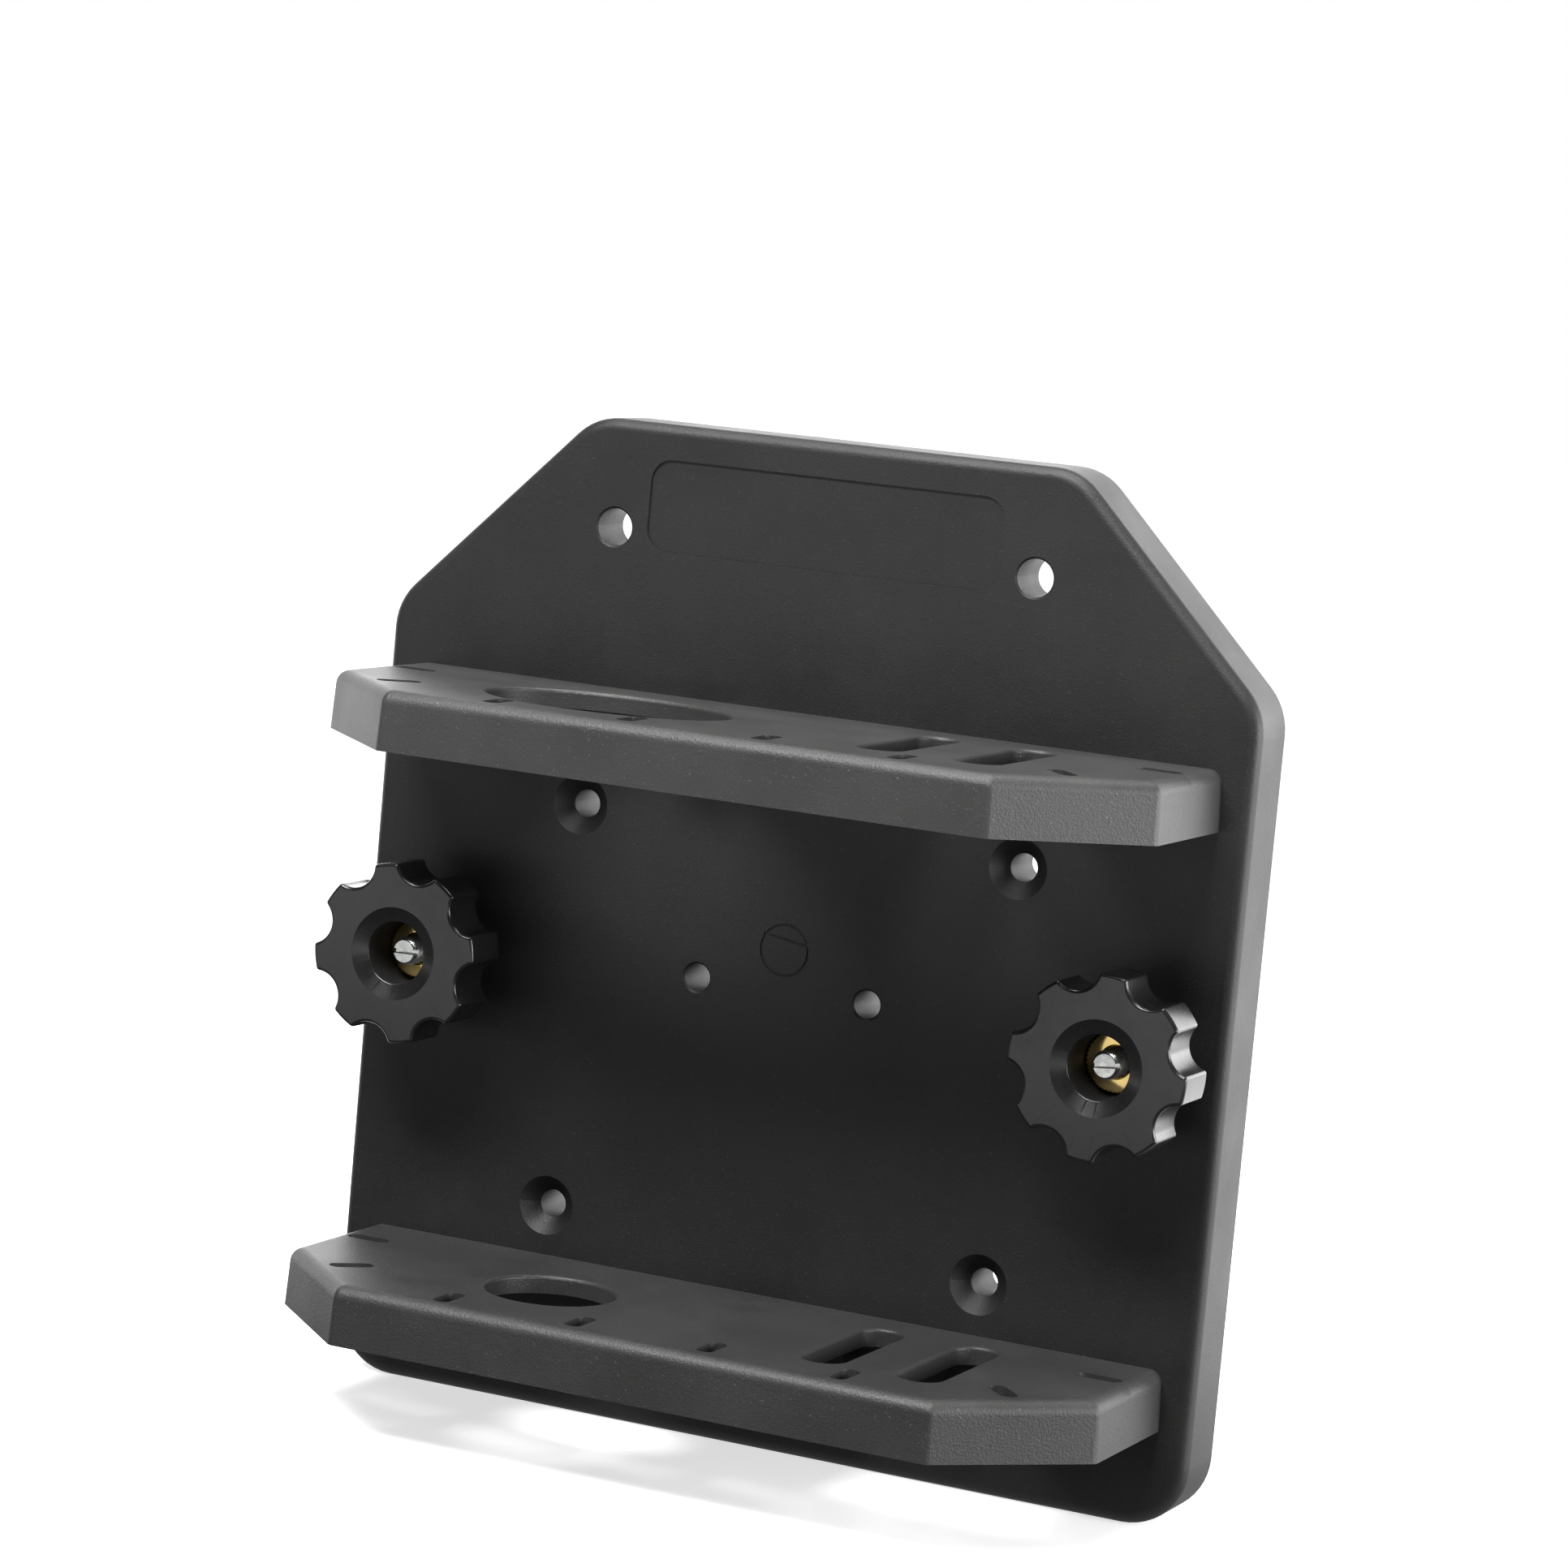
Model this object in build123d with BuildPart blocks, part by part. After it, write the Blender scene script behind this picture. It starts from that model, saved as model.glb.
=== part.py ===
from build123d import *
import math
import os

# A tool organizer: a moulded board with two perforated shelves for pliers and knives.
# Two hand knobs at its sides draw clamp nuts up behind it, onto a track or a rail's lip.
# Millimetres, +Z up, +X to the viewer's right, the front faces -Y.
# The origin is the centre of the board's back plane.

# Board
BOARD_HALF_WIDTH = 103.5
BOARD_HALF_HEIGHT = 111.0
BOARD_THICKNESS = 16.0
TOP_CORNER_CUT = 46.0
CUT_CORNER_RADIUS = 4.0
BOTTOM_CORNER_RADIUS = 14.0
FRONT_EDGE_RADIUS = 2.5
FACE_WALL = 4.0
RIM_WALL = 4.0
RIB_THICKNESS = 2.4
RIB_PITCH = 21.5
RIB_SETBACK = 2.0
RIB_COUNT = 9
BOSS_RADIUS = 8.0

# Label panel and gate mark on the board's face
PANEL_WIDTH, PANEL_HEIGHT, PANEL_Z = 84.0, 20.2, 93.2
PANEL_CORNER_RADIUS = 5.0
PANEL_DEPTH = 0.5
GATE_RADIUS, GATE_GROOVE, GATE_DEPTH = 5.9, 0.6, 0.35
GATE_SCAR_Z, GATE_SCAR_TILT = 2.4, -8.0

# Holes through the board
TOP_HOLE_X, TOP_HOLE_Z, TOP_HOLE_RADIUS = 50.0, 87.2, 4.15
TOP_BOSS_SETBACK = 3.5
SCREW_HOLE_X, SCREW_HOLE_ZS, SCREW_HOLE_RADIUS = 52.5, (25.2, -65.4), 3.1
COUNTERSINK_RADIUS, COUNTERSINK_ANGLE = 6.65, 90.0
SMALL_HOLE_X, SMALL_HOLE_Z, SMALL_HOLE_RADIUS = 20.5, -9.0, 3.1
HOLE_RIM = 0.4
STUD_X, STUD_Z, STUD_HOLE_RADIUS = 83.4, -10.4, 3.5
STUD_BOSS_RADIUS = 9.0

# Shelves
SHELF_TOPS = {"upper_shelf": 52.0, "lower_shelf": -76.5}
SHELF_HALF_WIDTH = 96.0
SHELF_DEPTH = 63.0
SHELF_CORNER_CUT = 26.5
SHELF_HEIGHT = 13.0
SHELF_DRAFT = 2.6
SHELF_TOP_WALL, SHELF_SIDE_WALL, SHELF_BACK_WALL = 4.0, 3.4, 5.0
SHELF_EDGE_RADIUS = 3.0
SHELF_CORNER_RADIUS = 1.5
SHELF_RIB_XS = (-70.0, 3.0, 48.0, 70.0)
SHELF_RIB_THICKNESS, SHELF_RIB_SETBACK = 2.2, 2.0

# Holes through the shelves, placed from the board's face
# x and the two half widths of each shelf's pliers hole
PLIERS_HOLES = {"upper_shelf": (-32.2, 27.8, 19.5), "lower_shelf": (-34.0, 14.3, 14.3)}
PLIERS_HOLE_Y = -31.5
KNIFE_SLOT_XS, KNIFE_SLOT_Y = (37.0, 59.0), -29.0
KNIFE_SLOT_LENGTH, KNIFE_SLOT_WIDTH = 39.0, 9.6
TOOL_HOLE_RIM = 0.8
HOOK_SLOT_LENGTH, HOOK_SLOT_WIDTH = 10.0, 4.0
# x, y and turn of the hook slots on the right half; the left half mirrors them
HOOK_SLOTS = ((15.5, -53.5, 90.0), (46.5, -54.5, 90.0), (77.0, -43.0, -45.0), (88.0, -16.0, 0.0))

# Screws that hold each shelf, put in from behind
FIX_XS = (-78.0, -24.0, 24.0, 78.0)
FIX_DROP = 8.4
FIX_BOSS_RADIUS = 6.5
FIX_CLEARANCE_RADIUS = 2.2
FIX_BORE_RADIUS, FIX_BORE_DEPTH = 4.6, 8.0
FIX_PILOT_RADIUS, FIX_PILOT_DEPTH = 2.0, 11.5
FIX_PILLAR_RADIUS, FIX_PILLAR_LENGTH = 4.2, 12.5
FIX_SHANK_RADIUS, FIX_SHANK_LENGTH = 1.97, 18.5
FIX_HEAD_RADIUS, FIX_HEAD_HEIGHT, FIX_HEAD_ROUNDING = 4.0, 2.9, 1.1
FIX_RECESS_LENGTH, FIX_RECESS_WIDTH, FIX_RECESS_DEPTH = 4.2, 1.0, 1.6
FIX_POINT_LENGTH = 1.2

# Knobs and what they turn on
KNOB_FRONT = 24.2
KNOB_THICKNESS = 12.7
KNOB_RADIUS = 20.0
KNOB_LOBES = 8
# how far each knob has been turned, as the angle of one scallop from +X
KNOB_TURNS = {"left": 32.5, "right": 17.0}
SCALLOP_RADIUS, SCALLOP_CENTRE = 5.4, 22.0
KNOB_EDGE_RADIUS = 0.8
HUB_RADIUS = 10.5
DISH_RADIUS, DISH_STEP, DISH_DEPTH = 10.3, 0.1, 1.4
KNOB_BORE_RADIUS, KNOB_BORE_DEPTH, KNOB_BORE_LIP = 6.9, 11.6, 0.5
INSERT_LENGTH = 9.0
INSERT_GROOVES, INSERT_GROOVE_WIDTH, INSERT_GROOVE_DEPTH = 3, 0.8, 0.5
INSERT_MOUTH_CHAMFER = 0.5
STUD_RADIUS, STUD_PITCH, THREAD_DEPTH = 3.175, 1.27, 0.62
THREAD_CREST = 0.127
STUD_TIP_BEVEL = 0.3
STUD_FIT = 0.05
STUD_TIP = 19.1
STUD_SLOT_WIDTH, STUD_SLOT_DEPTH = 1.1, 1.6
STUD_SLOT_TURNS = {"left": 2.0, "right": 6.0}
WASHER_RADIUS, WASHER_HOLE_RADIUS, WASHER_THICKNESS = 8.5, 3.5, 1.6
WASHER_CHAMFER = 0.25
KNOB_CLEARANCE = 0.3
NUT_GAP = 3.2
NUT_WIDTH, NUT_HEIGHT, NUT_THICKNESS = 24.0, 14.0, 5.0
NUT_CORNER_RADIUS, NUT_CHAMFER = 1.5, 0.8

OVERCUT = 1.0
FACE_Y = -BOARD_THICKNESS
BACK = Plane.XZ
FACE = Plane.XZ.offset(BOARD_THICKNESS)
SIDES = (("left", -1.0), ("right", 1.0))


def both_sides(x, z):
    """The same height on both halves of the board."""
    return [(-x, z), (x, z)]


def board_outline(inset):
    """The board's outline on its back plane, moved in by inset."""
    half_width = BOARD_HALF_WIDTH
    half_height = BOARD_HALF_HEIGHT
    with BuildSketch(BACK) as outline:
        with BuildLine():
            Polyline(
                (-half_width, -half_height),
                (half_width, -half_height),
                (half_width, half_height - TOP_CORNER_CUT),
                (half_width - TOP_CORNER_CUT, half_height),
                (-half_width + TOP_CORNER_CUT, half_height),
                (-half_width, half_height - TOP_CORNER_CUT),
                close=True,
            )
        make_face()
        bottom = outline.vertices().group_by(Axis.Z)[0]
        fillet(bottom, radius=BOTTOM_CORNER_RADIUS)
        cut_corners = outline.vertices().filter_by(lambda v: v.Z > 0)
        fillet(cut_corners, radius=CUT_CORNER_RADIUS)
        if inset:
            offset(amount=-inset, mode=Mode.REPLACE)
    return outline.sketch


def screw_hole_points():
    """The four countersunk mounting holes."""
    return [point for z in SCREW_HOLE_ZS for point in both_sides(SCREW_HOLE_X, z)]


def shelf_fix_points():
    """Where the shelf screws stand on the board."""
    return [(x, top - FIX_DROP) for top in SHELF_TOPS.values() for x in FIX_XS]


def shelf_outline(plane, inset):
    """The shelf's outline; its back edge stays where it is, inside the board's face."""
    half_width = SHELF_HALF_WIDTH - inset
    front = FACE_Y - SHELF_DEPTH + inset
    # a wall of even thickness shortens the 45-degree corner by this much on each leg
    cut = SHELF_CORNER_CUT - inset * (2.0 - math.sqrt(2.0))
    with BuildSketch(plane) as outline:
        with BuildLine():
            Polyline(
                (-half_width, OVERCUT + FACE_Y),
                (-half_width, front + cut),
                (-half_width + cut, front),
                (half_width - cut, front),
                (half_width, front + cut),
                (half_width, OVERCUT + FACE_Y),
                close=True,
            )
        make_face()
        fillet(outline.vertices().filter_by(lambda v: v.Y < FACE_Y), radius=SHELF_CORNER_RADIUS)
    return outline.sketch


# ---- board ----
with BuildPart() as back_plate:
    extrude(board_outline(0), amount=BOARD_THICKNESS)
    fillet(back_plate.faces().sort_by(Axis.Y)[0].edges(), radius=FRONT_EDGE_RADIUS)

    # hollow back: cells between ribs and bosses, then everything but the bosses set back
    bosses = [
        (both_sides(TOP_HOLE_X, TOP_HOLE_Z), BOSS_RADIUS),
        (screw_hole_points(), BOSS_RADIUS),
        (both_sides(SMALL_HOLE_X, SMALL_HOLE_Z), BOSS_RADIUS),
        ([(0, 0)], BOSS_RADIUS),
        (both_sides(STUD_X, STUD_Z), STUD_BOSS_RADIUS),
        (shelf_fix_points(), FIX_BOSS_RADIUS),
    ]
    with BuildSketch(BACK) as cells:
        add(board_outline(RIM_WALL))
        for points, radius in bosses:
            with Locations(*points):
                Circle(radius, mode=Mode.SUBTRACT)
        with GridLocations(RIB_PITCH, RIB_PITCH, RIB_COUNT, 1):
            Rectangle(RIB_THICKNESS, 2 * BOARD_HALF_HEIGHT, mode=Mode.SUBTRACT)
        with GridLocations(RIB_PITCH, RIB_PITCH, 1, RIB_COUNT):
            Rectangle(2 * BOARD_HALF_WIDTH, RIB_THICKNESS, mode=Mode.SUBTRACT)
    extrude(cells.sketch, amount=BOARD_THICKNESS - FACE_WALL, mode=Mode.SUBTRACT)
    with BuildSketch(BACK) as rib_tops:
        add(board_outline(RIM_WALL))
        for points, radius in bosses:
            with Locations(*points):
                Circle(radius, mode=Mode.SUBTRACT)
    extrude(rib_tops.sketch, amount=RIB_SETBACK, mode=Mode.SUBTRACT)
    with BuildSketch(BACK) as top_bosses:
        with Locations(*both_sides(TOP_HOLE_X, TOP_HOLE_Z)):
            Circle(BOSS_RADIUS)
    extrude(top_bosses.sketch, amount=TOP_BOSS_SETBACK, mode=Mode.SUBTRACT)

    # holes for the row's own studs and shelf screws
    plain_holes = [
        (both_sides(STUD_X, STUD_Z), STUD_HOLE_RADIUS),
        (shelf_fix_points(), FIX_CLEARANCE_RADIUS),
    ]
    with BuildSketch(BACK) as plain:
        for points, radius in plain_holes:
            with Locations(*points):
                Circle(radius)
    extrude(plain.sketch, amount=BOARD_THICKNESS, mode=Mode.SUBTRACT)
    with BuildSketch(BACK) as head_bores:
        with Locations(*shelf_fix_points()):
            Circle(FIX_BORE_RADIUS)
    extrude(head_bores.sketch, amount=FIX_BORE_DEPTH, mode=Mode.SUBTRACT)

    # mounting holes, countersunk or with a broken edge
    mounting_holes = [
        (both_sides(TOP_HOLE_X, TOP_HOLE_Z), TOP_HOLE_RADIUS, TOP_HOLE_RADIUS + HOLE_RIM),
        (both_sides(SMALL_HOLE_X, SMALL_HOLE_Z), SMALL_HOLE_RADIUS, SMALL_HOLE_RADIUS + HOLE_RIM),
        (screw_hole_points(), SCREW_HOLE_RADIUS, COUNTERSINK_RADIUS),
    ]
    with Locations(FACE):
        for points, radius, sink_radius in mounting_holes:
            with Locations(*points):
                CounterSinkHole(radius, sink_radius, BOARD_THICKNESS, COUNTERSINK_ANGLE)

    # shallow label panel, left empty, and the ring and scar of the moulding gate
    with BuildSketch(FACE) as panel:
        with Locations((0, PANEL_Z)):
            RectangleRounded(PANEL_WIDTH, PANEL_HEIGHT, PANEL_CORNER_RADIUS)
    extrude(panel.sketch, amount=-PANEL_DEPTH, mode=Mode.SUBTRACT)
    with BuildSketch(FACE) as gate:
        Circle(GATE_RADIUS)
        Circle(GATE_RADIUS - GATE_GROOVE, mode=Mode.SUBTRACT)
        with Locations(Location((0, GATE_SCAR_Z), GATE_SCAR_TILT)):
            Rectangle(2 * GATE_RADIUS - 2 * GATE_GROOVE, GATE_GROOVE)
    extrude(gate.sketch, amount=-GATE_DEPTH, mode=Mode.SUBTRACT)

back_plate.part.label = "back_plate"

# ---- shelves ----
shelves = {}
for shelf_name, shelf_top in SHELF_TOPS.items():
    top_plane = Plane.XY.offset(shelf_top)
    with BuildPart() as shelf:
        # shell, flaring a little towards its open underside
        extrude(shelf_outline(top_plane, 0), amount=-SHELF_HEIGHT, taper=-SHELF_DRAFT)
        rim = shelf.faces().sort_by(Axis.Z)[-1].edges().filter_by(lambda e: e.center().Y < FACE_Y)
        fillet(rim, radius=SHELF_EDGE_RADIUS)
        extrude(
            shelf_outline(top_plane.offset(-SHELF_TOP_WALL), SHELF_SIDE_WALL),
            amount=SHELF_TOP_WALL - SHELF_HEIGHT,
            taper=-SHELF_DRAFT,
            mode=Mode.SUBTRACT,
        )

        # back wall, ribs and screw pillars inside the shell
        inside_height = SHELF_HEIGHT - SHELF_TOP_WALL
        inside_z = shelf_top - SHELF_TOP_WALL - inside_height / 2
        back_wall_y = FACE_Y - SHELF_BACK_WALL / 2
        with Locations((0, back_wall_y, inside_z)):
            Box(2 * SHELF_HALF_WIDTH - SHELF_SIDE_WALL, SHELF_BACK_WALL, inside_height)
        rib_height = inside_height - SHELF_RIB_SETBACK
        rib_z = inside_z + SHELF_RIB_SETBACK / 2
        for rib_x in SHELF_RIB_XS:
            past_corner = max(0.0, abs(rib_x) - SHELF_HALF_WIDTH + SHELF_CORNER_CUT)
            rib_length = SHELF_DEPTH - SHELF_SIDE_WALL / 2 - past_corner
            with Locations((rib_x, FACE_Y - rib_length / 2, rib_z)):
                Box(SHELF_RIB_THICKNESS, rib_length, rib_height)
        fix_plane = BACK.offset(BOARD_THICKNESS)
        with BuildSketch(fix_plane) as pillars:
            with Locations(*[(x, shelf_top - FIX_DROP) for x in FIX_XS]):
                Circle(FIX_PILLAR_RADIUS)
        extrude(pillars.sketch, amount=FIX_PILLAR_LENGTH)
        with BuildSketch(fix_plane) as pilots:
            with Locations(*[(x, shelf_top - FIX_DROP) for x in FIX_XS]):
                Circle(FIX_PILOT_RADIUS)
        extrude(pilots.sketch, amount=FIX_PILOT_DEPTH, mode=Mode.SUBTRACT)

        # tool holes, through everything below them
        with BuildSketch(top_plane) as tool_holes:
            hole_x, hole_half_width, hole_half_depth = PLIERS_HOLES[shelf_name]
            with Locations((hole_x, FACE_Y + PLIERS_HOLE_Y)):
                Ellipse(hole_half_width, hole_half_depth)
            with Locations(*[(x, FACE_Y + KNIFE_SLOT_Y) for x in KNIFE_SLOT_XS]):
                SlotOverall(KNIFE_SLOT_LENGTH, KNIFE_SLOT_WIDTH, rotation=90)
        extrude(tool_holes.sketch, amount=-SHELF_HEIGHT, mode=Mode.SUBTRACT)
        top_face = shelf.faces().sort_by(Axis.Z)[-1]
        fillet(top_face.inner_wires().edges(), radius=TOOL_HOLE_RIM)
        with BuildSketch(top_plane) as hook_slots:
            for x, y, turn in HOOK_SLOTS:
                for side in (-1.0, 1.0):
                    with Locations(Location((side * x, FACE_Y + y), side * turn)):
                        SlotOverall(HOOK_SLOT_LENGTH, HOOK_SLOT_WIDTH)
        extrude(hook_slots.sketch, amount=-SHELF_TOP_WALL, mode=Mode.SUBTRACT)

        # nothing stands behind the board's face
        split(bisect_by=Plane.XZ.offset(BOARD_THICKNESS), keep=Keep.TOP)
    shelf.part.label = shelf_name
    shelves[shelf_name] = shelf.part

# ---- shelf screws ----
screw_sets = {}
for shelf_name, shelf_top in SHELF_TOPS.items():
    screw_z = shelf_top - FIX_DROP
    seat = BACK.offset(FIX_BORE_DEPTH)
    spots = [(x, screw_z) for x in FIX_XS]
    with BuildPart() as screws:
        with BuildSketch(seat) as shanks:
            with Locations(*spots):
                Circle(FIX_SHANK_RADIUS)
        extrude(shanks.sketch, amount=FIX_SHANK_LENGTH)
        with BuildSketch(seat) as heads:
            with Locations(*spots):
                Circle(FIX_HEAD_RADIUS)
        extrude(heads.sketch, amount=-FIX_HEAD_HEIGHT)
        fillet(screws.faces().group_by(Axis.Y)[-1].edges(), radius=FIX_HEAD_ROUNDING)
        with BuildSketch(seat.offset(-FIX_HEAD_HEIGHT)) as recesses:
            with Locations(*spots):
                Rectangle(FIX_RECESS_LENGTH, FIX_RECESS_WIDTH)
                Rectangle(FIX_RECESS_WIDTH, FIX_RECESS_LENGTH)
        extrude(recesses.sketch, amount=FIX_RECESS_DEPTH, mode=Mode.SUBTRACT)
        chamfer(screws.faces().group_by(Axis.Y)[0].edges(), length=FIX_POINT_LENGTH)
    screws.part.label = shelf_name + "_screws"
    screw_sets[shelf_name] = screws.part

# ---- knobs and clamps, one of each per side ----
knob_face = FACE_Y - KNOB_FRONT
knob_back = knob_face + KNOB_THICKNESS
hub_back = FACE_Y - WASHER_THICKNESS - KNOB_CLEARANCE
insert_front = knob_face + KNOB_BORE_DEPTH
insert_back = insert_front + INSERT_LENGTH
stud_front = FACE_Y - STUD_TIP
nut_front = NUT_GAP
nut_back = NUT_GAP + NUT_THICKNESS

clamp_parts = []
for side_name, side in SIDES:
    axis_x = side * STUD_X

    # the turning profile's plane: x is the distance from the axis, y runs to the back
    profile = Plane(origin=(axis_x, 0, STUD_Z), x_dir=(1, 0, 0), z_dir=(0, 0, 1))
    turn_axis = Axis((axis_x, 0, STUD_Z), (0, 1, 0))

    with BuildPart() as knob:
        with BuildSketch(BACK.offset(-knob_back)) as lobes:
            with Locations((axis_x, STUD_Z)):
                Circle(KNOB_RADIUS)
                with PolarLocations(SCALLOP_CENTRE, KNOB_LOBES, KNOB_TURNS[side_name]):
                    Circle(SCALLOP_RADIUS, mode=Mode.SUBTRACT)
            fillet(lobes.vertices(), radius=KNOB_EDGE_RADIUS)
        extrude(lobes.sketch, amount=KNOB_THICKNESS)
        front_edges = knob.faces().sort_by(Axis.Y)[0].edges()
        back_edges = knob.faces().sort_by(Axis.Y)[-1].edges()
        fillet(front_edges, radius=KNOB_EDGE_RADIUS)
        fillet(back_edges, radius=KNOB_EDGE_RADIUS)
        with BuildSketch(BACK.offset(-hub_back)) as hub:
            with Locations((axis_x, STUD_Z)):
                Circle(HUB_RADIUS)
        extrude(hub.sketch, amount=hub_back - knob_back + OVERCUT)
        # dished middle of the face, bore and the insert's pocket behind it
        with BuildSketch(profile) as bore:
            with BuildLine():
                Polyline(
                    (0, knob_face - OVERCUT),
                    (DISH_RADIUS, knob_face - OVERCUT),
                    (DISH_RADIUS, knob_face + DISH_STEP),
                    (KNOB_BORE_RADIUS + KNOB_BORE_LIP, knob_face + DISH_DEPTH),
                    (KNOB_BORE_RADIUS, knob_face + DISH_DEPTH + KNOB_BORE_LIP),
                    (KNOB_BORE_RADIUS, insert_back),
                    (STUD_HOLE_RADIUS, insert_back),
                    (STUD_HOLE_RADIUS, hub_back + OVERCUT),
                    (0, hub_back + OVERCUT),
                    close=True,
                )
            make_face()
        revolve(bore.sketch, axis=turn_axis, mode=Mode.SUBTRACT)
    knob.part.label = side_name + "_knob"
    clamp_parts.append(knob.part)

    with BuildPart() as insert:
        # a bush with knurling grooves that hold it in the knob
        tapped_radius = STUD_RADIUS + STUD_FIT
        groove_pitch = INSERT_LENGTH / (INSERT_GROOVES + 1)
        with BuildSketch(profile) as bush:
            with Locations((tapped_radius, insert_front)):
                Rectangle(
                    KNOB_BORE_RADIUS - tapped_radius,
                    INSERT_LENGTH,
                    align=(Align.MIN, Align.MIN),
                )
            for groove in range(1, INSERT_GROOVES + 1):
                with Locations((KNOB_BORE_RADIUS, insert_front + groove * groove_pitch)):
                    Rectangle(2 * INSERT_GROOVE_DEPTH, INSERT_GROOVE_WIDTH, mode=Mode.SUBTRACT)
        revolve(bush.sketch, axis=turn_axis)
        mouth = insert.edges().filter_by(GeomType.CIRCLE).group_by(SortBy.RADIUS)[0]
        chamfer(mouth.sort_by(Axis.Y)[0], length=INSERT_MOUTH_CHAMFER)
    insert.part.label = side_name + "_knob_insert"
    clamp_parts.append(insert.part)

    with BuildPart() as stud:
        # threads as close rings of the right pitch
        root_radius = STUD_RADIUS - THREAD_DEPTH
        thread_count = int((nut_back - stud_front) / STUD_PITCH) - 1
        thread_start = stud_front + STUD_PITCH / 2
        rings = []
        for ring_number in range(thread_count):
            root_y = thread_start + ring_number * STUD_PITCH
            crest_y = root_y + STUD_PITCH / 2
            rings.append((root_radius, root_y))
            rings.append((STUD_RADIUS, crest_y - THREAD_CREST / 2))
            rings.append((STUD_RADIUS, crest_y + THREAD_CREST / 2))
        with BuildSketch(profile) as thread:
            with BuildLine():
                Polyline(
                    (0, stud_front),
                    (root_radius - STUD_TIP_BEVEL, stud_front),
                    *rings,
                    (root_radius, nut_back),
                    (0, nut_back),
                    close=True,
                )
            make_face()
        revolve(thread.sketch, axis=turn_axis)
        with BuildSketch(BACK.offset(-stud_front)) as slot:
            with Locations(Location((axis_x, STUD_Z), STUD_SLOT_TURNS[side_name])):
                Rectangle(2 * STUD_RADIUS + OVERCUT, STUD_SLOT_WIDTH)
        extrude(slot.sketch, amount=-STUD_SLOT_DEPTH, mode=Mode.SUBTRACT)
    stud.part.label = side_name + "_clamp_stud"
    clamp_parts.append(stud.part)

    with BuildPart() as washer:
        with BuildSketch(FACE) as ring:
            with Locations((axis_x, STUD_Z)):
                Circle(WASHER_RADIUS)
                Circle(WASHER_HOLE_RADIUS, mode=Mode.SUBTRACT)
        extrude(ring.sketch, amount=WASHER_THICKNESS)
        chamfer(washer.faces().sort_by(Axis.Y)[0].edges(), length=WASHER_CHAMFER)
    washer.part.label = side_name + "_washer"
    clamp_parts.append(washer.part)

    with BuildPart() as nut:
        with BuildSketch(BACK.offset(-nut_back)) as flange:
            with Locations((axis_x, STUD_Z)):
                RectangleRounded(NUT_WIDTH, NUT_HEIGHT, NUT_CORNER_RADIUS)
        extrude(flange.sketch, amount=NUT_THICKNESS)
        chamfer(nut.faces().sort_by(Axis.Y)[-1].edges(), length=NUT_CHAMFER)
        with BuildSketch(BACK.offset(-nut_back)) as tapped:
            with Locations((axis_x, STUD_Z)):
                Circle(STUD_RADIUS)
        extrude(tapped.sketch, amount=NUT_THICKNESS, mode=Mode.SUBTRACT)
    nut.part.label = side_name + "_clamp_nut"
    clamp_parts.append(nut.part)

# ---- files ----
os.makedirs("parts", exist_ok=True)
export_step(back_plate.part, "parts/back_plate.step")
for piece in [*shelves.values(), *screw_sets.values(), *clamp_parts]:
    export_step(piece, f"parts/{piece.label}.step")
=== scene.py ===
import math

import bmesh
import bpy
from mathutils import Matrix, Vector


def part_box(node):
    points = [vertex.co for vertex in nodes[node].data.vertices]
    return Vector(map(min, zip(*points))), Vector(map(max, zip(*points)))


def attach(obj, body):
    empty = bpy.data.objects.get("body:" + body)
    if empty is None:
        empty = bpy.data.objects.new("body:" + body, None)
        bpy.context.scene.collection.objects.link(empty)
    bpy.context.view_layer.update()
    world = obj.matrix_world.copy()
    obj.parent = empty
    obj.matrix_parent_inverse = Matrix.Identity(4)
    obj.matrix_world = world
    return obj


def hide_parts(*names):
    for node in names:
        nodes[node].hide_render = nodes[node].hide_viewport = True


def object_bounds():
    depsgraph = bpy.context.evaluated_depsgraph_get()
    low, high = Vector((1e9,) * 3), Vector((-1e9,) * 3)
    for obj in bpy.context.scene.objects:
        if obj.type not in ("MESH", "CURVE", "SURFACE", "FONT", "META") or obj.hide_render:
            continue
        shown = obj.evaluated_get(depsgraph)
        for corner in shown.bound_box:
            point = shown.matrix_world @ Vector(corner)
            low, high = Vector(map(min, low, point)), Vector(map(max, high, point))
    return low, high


# The tool organizer's visual model. The moulded board and shelves are the frame's own nodes. The knobs,
# their brass inserts, the studs, washers, nuts and screws are finer meshes round the same axes.

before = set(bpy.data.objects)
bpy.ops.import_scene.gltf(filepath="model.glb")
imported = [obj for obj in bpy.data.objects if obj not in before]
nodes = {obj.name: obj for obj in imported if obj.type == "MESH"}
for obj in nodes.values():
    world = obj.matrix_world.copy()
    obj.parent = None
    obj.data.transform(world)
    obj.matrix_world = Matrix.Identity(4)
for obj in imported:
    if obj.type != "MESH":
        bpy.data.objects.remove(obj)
cad_low, cad_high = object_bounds()

MM = 0.001
SCENE = bpy.context.scene


# ---------------------------------------------------------------- node helpers
def new_material(name):
    """An empty node material and its Principled shader."""
    material = bpy.data.materials.new(name)
    material.use_nodes = True
    tree = material.node_tree
    tree.nodes.clear()
    output = tree.nodes.new("ShaderNodeOutputMaterial")
    shader = tree.nodes.new("ShaderNodeBsdfPrincipled")
    tree.links.new(shader.outputs["BSDF"], output.inputs["Surface"])
    return material, tree, shader


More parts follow.
